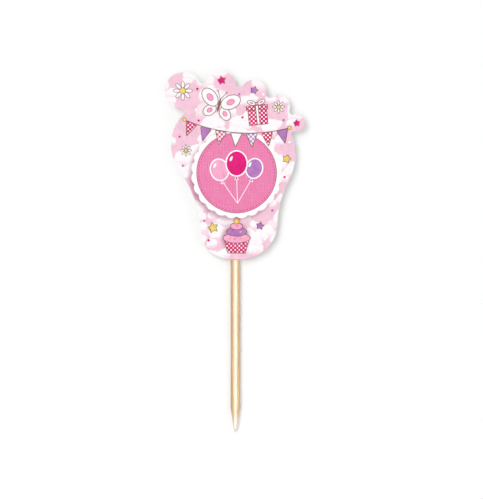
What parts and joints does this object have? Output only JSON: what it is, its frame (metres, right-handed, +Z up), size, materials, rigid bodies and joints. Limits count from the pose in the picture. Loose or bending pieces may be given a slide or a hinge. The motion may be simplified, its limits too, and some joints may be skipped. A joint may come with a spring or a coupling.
{
  "type": "cupcake topper",
  "caption": "Cupcake topper: a die-cut printed card in the outline of a bare foot, glued to the top of a round wooden pick with a sharpened end.",
  "frame": {"origin": "the point of the pick, on the pick's axis", "axes": "+Z up along the pick to the toes, -Y out of the printed face, +X towards the little toe, which is to the right for someone who faces the print"},
  "size_m": [0.0311, 0.0026, 0.08],
  "materials": {
    "printed_card": "coated print on the front, bare white board on the back and in the cut edge",
    "pick_wood": "smooth turned birch or bamboo, unvarnished",
    "hot_melt_glue": "cloudy, slightly yellow, smooth where it set in air"
  },
  "bodies": {
    "root": {"foot_card": "printed_card", "wooden_pick": "pick_wood", "lower_glue_dab": "hot_melt_glue", "upper_glue_dab": "hot_melt_glue"}
  },
  "joints": []
}
